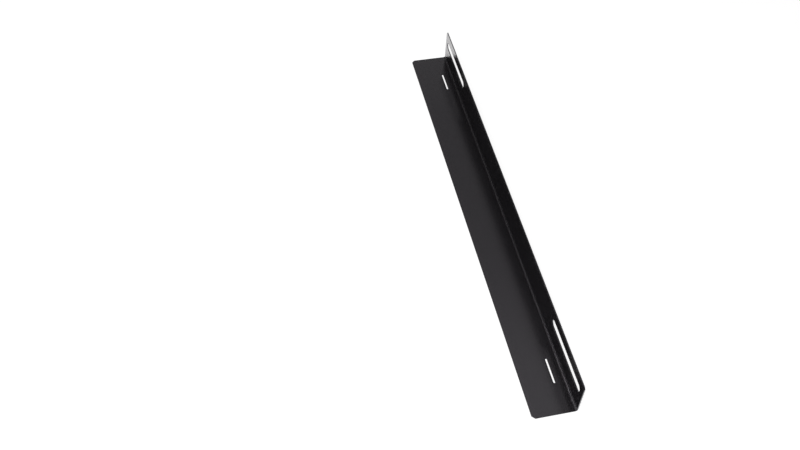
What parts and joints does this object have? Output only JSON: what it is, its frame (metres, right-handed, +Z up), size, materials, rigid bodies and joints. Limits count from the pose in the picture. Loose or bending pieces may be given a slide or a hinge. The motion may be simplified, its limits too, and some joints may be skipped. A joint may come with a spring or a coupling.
{
  "type": "fixed rack rail",
  "caption": "Folded sheet-steel L rail that screws to a rack's posts through long wall slots and carries equipment on its flat seat.",
  "frame": {"origin": "middle of the rail's box, on the underside of the seat", "axes": "+X from the seat's free edge towards the wall and the rack's posts, +Y along the rail and the rack's depth, +Z up along the wall"},
  "size_m": [0.047, 0.54, 0.044],
  "materials": {
    "powder_coat": "satin black powder coat"
  },
  "bodies": {
    "root": {"rail": "powder_coat"}
  },
  "joints": []
}
